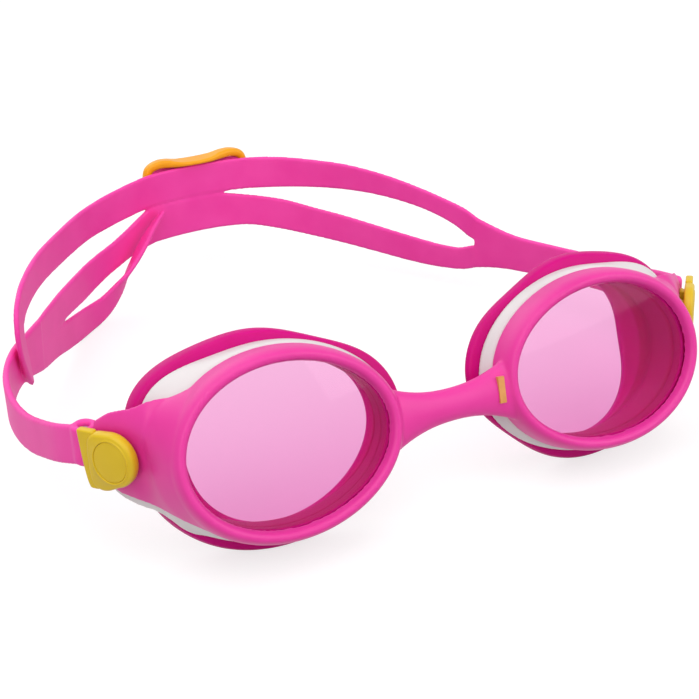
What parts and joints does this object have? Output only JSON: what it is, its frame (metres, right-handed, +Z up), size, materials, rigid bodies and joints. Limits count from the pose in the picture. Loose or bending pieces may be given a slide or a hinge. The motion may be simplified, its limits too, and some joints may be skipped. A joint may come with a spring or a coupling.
{
  "type": "swim goggles",
  "caption": "Swim goggles with a soft pink frame, tinted oval lenses, flared eye seals, swivelling side clips with push buttons, and a split silicone head strap with a sliding rear buckle.",
  "frame": {"origin": "on the surface that the goggles rest on, under the middle of their bounding box", "axes": "+Z up, -Y the way the lenses face, +X to the right of a person who looks at the lenses; left and right in the names are that person's"},
  "size_m": [0.1419, 0.1436, 0.0396],
  "materials": {
    "pink_silicone": "soft satin silicone",
    "strap_silicone": "soft satin silicone",
    "magenta_silicone": "soft satin silicone",
    "tinted_lens": "clear pink tint",
    "white_plastic": "smooth moulded",
    "yellow_plastic": "smooth moulded",
    "amber_plastic": "smooth moulded",
    "gold_inlay": "smooth",
    "spring_steel": "drawn wire"
  },
  "bodies": {
    "front": {"front_frame": "pink_silicone", "bridge_tab": "gold_inlay", "lens_left": "tinted_lens", "lens_right": "tinted_lens", "lens_gasket_left": "magenta_silicone", "lens_gasket_right": "magenta_silicone", "eye_cup_left": "white_plastic", "eye_cup_right": "white_plastic", "eye_seal_left": "magenta_silicone", "eye_seal_right": "magenta_silicone", "clip_socket_left": "white_plastic", "clip_socket_right": "white_plastic"},
    "strap": {"side_clip_left": "yellow_plastic", "side_clip_right": "yellow_plastic", "button_spring_left": "spring_steel", "button_spring_right": "spring_steel", "strap_pin_left": "spring_steel", "strap_pin_right": "spring_steel", "head_strap": "strap_silicone"},
    "button_left": {"push_button_left": "yellow_plastic"},
    "button_right": {"push_button_right": "yellow_plastic"},
    "buckle": {"rear_buckle": "amber_plastic"}
  },
  "joints": [
    {"name": "strap_swing", "type": "hinge", "parent": "front", "child": "strap", "pos_m": [0, -0.0521, 0.02269], "axis": [1, 0, 0], "range_deg": [-12, 12]},
    {"name": "press_left", "type": "slide", "parent": "strap", "child": "button_left", "axis": [0.766, 0.6427, -0.0112], "range_m": [0, 0.0009], "stiffness_N_per_m": 1500, "springref_m": -0.0003, "deforming": ["button_spring_left"]},
    {"name": "press_right", "type": "slide", "parent": "strap", "child": "button_right", "axis": [-0.766, 0.6427, -0.0112], "range_m": [0, 0.0009], "stiffness_N_per_m": 1500, "springref_m": -0.0003, "deforming": ["button_spring_right"]},
    {"name": "buckle_slide", "type": "hinge", "parent": "strap", "child": "buckle", "pos_m": [0, 0.02081, 0.0223], "axis": [0, 0, 1], "range_deg": [-10, 10]}
  ]
}
